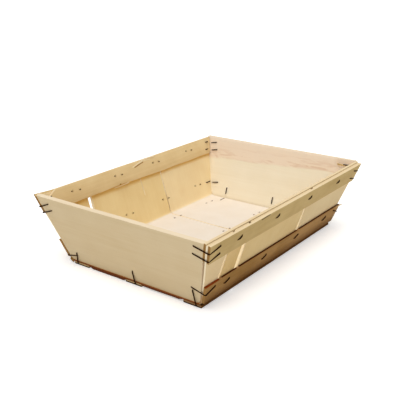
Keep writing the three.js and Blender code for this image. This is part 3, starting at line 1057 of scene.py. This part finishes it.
def snip_front_end(node, wall):
    """Saws a rail's lower front corner off at a slant, between two corners of its CAD node."""
    snip_high = farthest(node, -along_tray + wall.up * 8)
    snip_low = farthest(node, -along_tray + wall.up * 0.05)
    slope = (snip_high - snip_low).normalized()
    outward = slope.cross(across_tray)
    bpy.ops.object.mode_set(mode="EDIT")
    saw(snip_high, -outward if outward.x > 0 else outward)
    bpy.ops.object.mode_set(mode="OBJECT")


def lift_front_end(piece, wall):
    """Bends up the front end of a rail, which has come loose from the board."""
    bend_x = -140 * mm
    bent_length = 25 * mm
    end_lift = 1.6 * mm
    for vertex in piece.data.vertices:
        share = max(0, (bend_x - vertex.co.x) / bent_length)
        vertex.co += wall.up * end_lift * share


def wear_lath(piece, strength=lath_warp):
    """Warps a lath and rounds its arrises, but keeps it in the CAD model's box."""
    for axis in ("Y", "Z"):
        displace(piece, "warp " + axis, axis, strength)
    for vertex in piece.data.vertices:
        vertex.co.z = max(vertex.co.z, 0)
        vertex.co.y = min(vertex.co.y, farthest_y)
    apply_modifier(piece, "BEVEL", "worn arrises", width=lath_arris, segments=2, angle_limit=0.9)


def paint_lath(piece, name, pale, deep, spots=()):
    """Gives a lath its grain and rust marks, and end grain where it was cut across."""
    wood = Poplar(name, "X", pale, deep, blotches=0.4)
    if spots:
        add_rust(wood, spots)
    piece.data.materials.append(wood.material)
    paint_faces(piece, end_grain, cut_across)
    return wood


# %% [markdown]
# The near lower rail is darker than the rest, and darkest along its foot. The inner half of its upper
# edge gets dark brown painted shade, where it stands off the strips, except where light comes through
# the gaps. In front of the first gap the whole edge gets the painted shade, in a lighter red-brown.


# %% Darken the foot and paint the edge's shade
shaded_depth = veneer + layer_gap + 1.5 * mm
unshaded_depth = veneer + layer_gap + 2.1 * mm
gap_places = (-121 * mm, -90 * mm, 39 * mm)
lit_reach = 1.5 * mm
lit_fade = 2.5 * mm


def stain_foot(wood):
    # Darker towards the foot, and a little lighter towards the back.
    wood.stain("#D4AC7E", wood.fade("X", -40, 60, 0.18))
    wood.stain("#552C0A", wood.fade("Z", 18, 2, 0.8))
    wood.dull()


def scorch_edge(piece, wall):
    # Painted shade on the inner half of the upper edge, broken beside the gaps where light comes
    # through; redder over the front end.
    wood = Poplar("scorched lath edge", "X", "#B08656", "#93683A")
    tree = wood.tree
    along = add_node(tree, "SeparateXYZ", Vector=wood.place).outputs["X"]
    depth = wood.travel(wall.foot, wall.out)
    edge_shade = add_node(tree, "MapRange", Value=depth, From_Min=unshaded_depth, From_Max=shaded_depth)
    for gap_x in gap_places:
        offset = add_node(tree, "Math", operation="SUBTRACT", _0=along, _1=gap_x)
        away = add_node(tree, "Math", operation="ABSOLUTE", _0=offset)
        beside = add_node(tree, "MapRange", Value=away, From_Min=lit_reach, From_Max=lit_fade)
        edge_shade = add_node(tree, "Math", operation="MULTIPLY", _0=edge_shade, _1=beside)
    front = wood.fade("X", -123, -126, 0.9)
    brown, red = colour("#522802"), colour("#924012")
    shade_tone = add_node(tree, "Mix", data_type="RGBA", _0=front, _6=brown, _7=red).outputs[2]
    wood.stain(shade_tone, add_node(tree, "Math", operation="MAXIMUM", _0=edge_shade, _1=front))
    wood.dull()
    paint_faces(piece, wood, lambda face: face.normal.dot(wall.up) > 0.6)


# %% Make the rails
sliver_highlight_width = 1.2 * mm
shaded_chip_width = 1.3 * mm
rail_tones = {
    "top_rail_outer_near": ("#CBB078", "#AC8E54"),
    "top_rail_inner_near": ("#EBD09A", "#D2B176"),
    "top_rail_outer_far": ("#E2C68C", "#C8A768"),
    "top_rail_inner_far": ("#EDD3A0", "#D8B880"),
    "lower_rail_near": ("#B08855", "#845E27"),
    "lower_rail_far": ("#C29A60", "#9A7038"),
}
splinters = {
    "top_rail_inner_far": [
        ([(32, 82.4, -3.2), (19, 83, -3.8), (8, 82.1, -4.2), (-2, 79.7, -4.3), (-11, 77.5, -4)],
         1.8 * mm, knife_cut),
        ([(-24, 60.6, -3), (-33, 60.2, -3.3), (-42, 59.9, -3.3), (-51, 60.2, -3)], 1.2 * mm, lath_edge_and_highlight),
    ],
    "lower_rail_near": [
        ([(138, 25, 4.4), (147, 25, 4.8), (153, 24, 4.9), (157, 22.4, 4.9)], 2.2 * mm, lath_edge_and_highlight),
    ],
}


for wall in walls:
    lean = -wall.side * (math.pi / 2 - wall.turn)
    for place in ("top_rail_outer_", "top_rail_inner_", "lower_rail_"):
        node = place + wall.name
        piece = saw_lath(node, wall.up, wall.out, lean)
        if node == "top_rail_inner_far":
            snip_front_end(node, wall)
            fray_lower_edge(piece, wall)
        if node == "top_rail_outer_far":
            lift_front_end(piece, wall)
        wear_lath(piece)
        spots = staple_tips("top", wall.name, wall.out) if "inner" in node else []
        wood = paint_lath(piece, "sawn poplar lath " + node, *rail_tones[node], spots)
        paint_faces(piece, lath_edge_and_highlight, lambda face: face.normal.dot(wall.up) > 0.7)
        if node == "top_rail_outer_far":
            paint_faces(piece, old_end_grain, cut_across)
        if node == "lower_rail_near":
            stain_foot(wood)
            scorch_edge(piece, wall)
        if node == "top_rail_inner_far":
            # Painted highlights on the lit upper side of two slivers, and painted shadows in the cracks
            # under them.
            sliver_highlights = [[(-10, 77.3), (0, 79.3), (11, 80.9), (24, 80.8)], [(-49, 60), (-27, 58)]]
            draw_lines(wood, wall, -inner_face, sliver_highlights, "#F6E4BA", sliver_highlight_width)
            crack_shadows = [[(-7, 76.2), (1, 77.8), (10, 79.4)], [(-40, 62), (-38, 62.3)]]
            draw_lines(wood, wall, -inner_face, crack_shadows, "#9C6C26")
        if node == "top_rail_outer_near":
            # A chip in the near outer rail's rim: its slit is a dark line of painted shade, with no
            # depth in the mesh.
            shaded_chip = [[(-75, 82.2), (-67, 82.9), (-60, 83.4)], [(-65, 83), (-60, 83.2)]]
            draw_lines(wood, wall, outer_face, shaded_chip, "#584420", shaded_chip_width)
        # Painted highlight: the inner rail's outer face, where it shows above the outer rail, gets the
        # pale edge wood against its shade.
        if node == "top_rail_inner_near":
            paint_faces(piece, lath_edge_and_highlight, lambda face: face.normal.dot(wall.out) > 0.7)
        for splinter in splinters.get(node, []):
            raise_splinter(piece, wall, *splinter)
        finish_piece(piece, "lath_" + node, "rail", node)

# %% [markdown]
# Three runners under the floor carry the tray. They are laths too, so the same saw makes them, laid
# flat and level. They are the brownest wood of the tray, darkest along the near side. Their sawn ends
# get a painted contact shadow, almost black, along the foot, and the end of the near one is stained
# brown all over.

# %% Make the runners
runner_warp = 0.2 * mm
runner_end = Poplar("runner end grain", "Y", "#CFAE7C", "#A8854E")
runner_end.stain("#744422", runner_end.fade("Y", -60, -70, 0.6))
# Painted contact shadow, almost black, along the foot of the runner ends.
runner_end.stain("#2A1406", runner_end.fade("Z", 2.1, 1.3, 0.95))
for place in rows:
    node = "runner_" + place
    piece = saw_lath(node, upright, across_tray, 0)
    wear_lath(piece, runner_warp)
    wood = paint_lath(piece, "sawn poplar runner " + place, "#A8824E", "#7A5628")
    wood.stain("#6A4018", wood.fade("Y", -90, -92, 0.9))
    wood.dull()
    paint_faces(piece, runner_end, cut_across)
    finish_piece(piece, "lath_" + node, "rail", node)

# %% [markdown]
# ## The staples
# The wire is drawn steel with a dark brown skin. A circle is its section: extruding the circle gives a
# straight run, and spinning it round the inside of a corner gives a bend, as in a bending tool.

# %% Drawn steel wire
rust_patch = 3 * mm
wire_skin, tree, shader = new_material("drawn steel wire")
place = add_node(tree, "TexCoord").outputs["Object"]
lumps = add_node(tree, "TexNoise", Vector=place, Scale=1 / rust_patch, Detail=3.0)
rust = add_node(tree, "MapRange", Value=lumps, From_Min=0.35, From_Max=0.7)
dark, brown = colour("#1C0A00"), colour("#401E02")
skin = add_node(tree, "Mix", data_type="RGBA", _0=rust, _6=dark, _7=brown)
tree.links.new(skin.outputs[2], shader.inputs["Base Color"])
shader.inputs["Metallic"].default_value = 0.1
shader.inputs["Roughness"].default_value = 0.8
shader.inputs["Specular IOR Level"].default_value = 0.05
shader.inputs["Specular Tint"].default_value = colour("#6A3810")

# %% Bend a wire
bend_radius = 1.1 * mm
wire_sides = 10
degrees_a_step = 22


def bend_wire(corners):
    """Bends one wire along the corners of its middle line."""
    runs = [(b - a).normalized() for a, b in zip(corners, corners[1:])]
    first_turn = runs[0].to_track_quat("Z", "Y").to_euler()
    bpy.ops.object.select_all(action="DESELECT")
    bpy.ops.mesh.primitive_circle_add(
        vertices=wire_sides, radius=wire_radius, fill_type="NGON", location=corners[0],
        rotation=first_turn,
    )
    wire = open_blank((1, 1, 1))
    select_mesh()
    here = corners[0]
    for corner, before, after in zip(corners[1:-1], runs, runs[1:]):
        turn = before.angle(after)
        reach = bend_radius * math.tan(turn / 2)
        start = corner - before * reach
        extrude(start - here)
        inward = (after - before * before.dot(after)).normalized()
        bpy.ops.mesh.spin(
            steps=max(3, round(math.degrees(turn) / degrees_a_step)), angle=-turn,
            center=start + inward * bend_radius, axis=before.cross(after).normalized(),
        )
        here = corner + after * reach
    extrude(corners[-1] - here)
    face_outwards()
    wire.data.materials.append(wire_skin)
    return wire


# %% [markdown]
# One flat staple is bent for each thickness of wood, along X with Z pointing out of the wood, and
# copies are turned into place.

# %% Place the rows of flat staples
clinch = 2.2 * mm
crown_lift = 0.85 * mm
crown_bow = 2 * mm
tip_lift = -0.25 * mm
shown_share = {"top": 0.32, "lower": 0.66, "runner": 0.7}


def flat_staple(stack, lift, share):
    """A staple whose crown is bowed, so that only a share of its width lies above the wood."""
    half = crown_width / 2
    inside = -stack - tip_lift
    sunk = lift - crown_bow
    return bend_wire([
        Vector((-half - clinch, 0, inside)), Vector((-half, 0, inside)), Vector((-half, 0, sunk)),
        Vector((-half * share, 0, lift)), Vector((half * share, 0, lift)),
        Vector((half, 0, sunk)), Vector((half, 0, inside)), Vector((half + clinch, 0, inside)),
    ])


def count_pieces(start):
    return sum(piece.name.startswith(start) for piece in bpy.data.objects)


def set_staple(pattern, name, origin, out, tilt, *nodes):
    """Copies a flat staple into the wood, with its crown on the side that out points to."""
    staple = duplicate(pattern)
    along = Quaternion(out, tilt) @ along_tray
    across = out.cross(along)
    for vertex in staple.data.vertices:
        local = vertex.co
        vertex.co = origin + along * local.x + across * local.y + out * local.z
    finish_piece(staple, name, "staple_wire", *nodes)


for kind, stack in stacks.items():
    lift = crown_lift if kind != "runner" else -wire_radius
    pattern = flat_staple(stack, lift, shown_share[kind])
    for node in sorted(frame["nodes"]):
        if node.startswith("staple_" + kind):
            wall = next((wall for wall in walls if wall.name in node), None)
            out = wall.out if kind != "runner" else -upright
            tilt = tilts["runner" if kind == "runner" else wall.name]
            set_staple(pattern, "wire_" + node, staple_axis(node, out), out, tilt, node)
    if kind == "runner":
        second = staple_axis("staple_runner_middle_2", -upright)
        third = staple_axis("staple_runner_middle_3", -upright)
        hidden = second * 2 - third
        set_staple(pattern, "wire_staple_runner_middle_1", hidden, -upright, tilts["runner"])
    bpy.data.objects.remove(pattern)
print("flat staples:", count_pieces("wire_staple"))

# %% [markdown]
# The corner staples and the ones under the boards' feet are all bent a little differently, so each is
# made on its own. The free corners of a CAD wire are its farthest vertices along slanting directions.
# The lower one at the front far corner sits deeper than its CAD wire, as the photograph shows.

# %% Bend the corner and foot staples
press = 0.3 * mm
past_inside = 1.6 * mm
corner_clinch = 9 * mm
short_clinch = 5 * mm
foot_clinch = 10.5 * mm
clinch_sag = 1.8 * mm
deeper_end = Vector((1, -4.5, -2.4)) * mm
deeper_bend = Vector((1, -1.2, -2.4)) * mm


def wire_corner(node, direction):
    """A corner of the middle line of a CAD wire."""
    return farthest(node, direction) - direction.normalized() * wire_radius


for end in ends:
    sideways = along_tray * end.side
    for wall in walls:
        for level in ("top", "second", "lower"):
            node = "_".join(["corner_staple", end.name, wall.name, level])
            outwards = Vector((0, wall.side, 0))
            bend = wire_corner(node, sideways + outwards - upright)
            board_out = wire_corner(node, sideways - outwards * 0.5 + upright * 0.5)
            wall_out = wire_corner(node, outwards - sideways * 0.5 + upright * 0.5)
            if node == "corner_staple_front_far_lower":
                board_out += deeper_end
                bend += deeper_bend
            stack = stacks.get(level, stacks["top"])
            board_in = board_out - end.out * (board + past_inside)
            wall_in = wall_out - wall.out * (stack + past_inside)
            sag = upright * (clinch_sag if wall is far_wall else 0)
            wall_clinch = short_clinch if wall is far_wall and level != "lower" else corner_clinch
            wire = bend_wire([
                board_in + outwards * corner_clinch - sag, board_in, board_out - end.out * press,
                bend - (end.out + wall.out) * press, wall_out - wall.out * press, wall_in,
                wall_in + sideways * wall_clinch,
            ])
            finish_piece(wire, "wire_" + node, "staple_wire", node)
    for place in rows:
        node = "_".join(["foot_staple", end.name, place])
        board_out = wire_corner(node, sideways + upright * 0.3)
        bend = wire_corner(node, sideways - upright)
        floor_out = wire_corner(node, -sideways - upright)
        board_in = board_out - end.out * (board + past_inside)
        floor_in = Vector((floor_out.x, floor_out.y, floor_top + tip_lift))
        wire = bend_wire([
            board_in - end.up * corner_clinch, board_in, board_out - end.out * press,
            bend - sideways * press, floor_out, floor_in, floor_in + sideways * foot_clinch,
        ])
        finish_piece(wire, "wire_" + node, "staple_wire", node)
print("bent staples:", count_pieces("wire_corner") + count_pieces("wire_foot"))
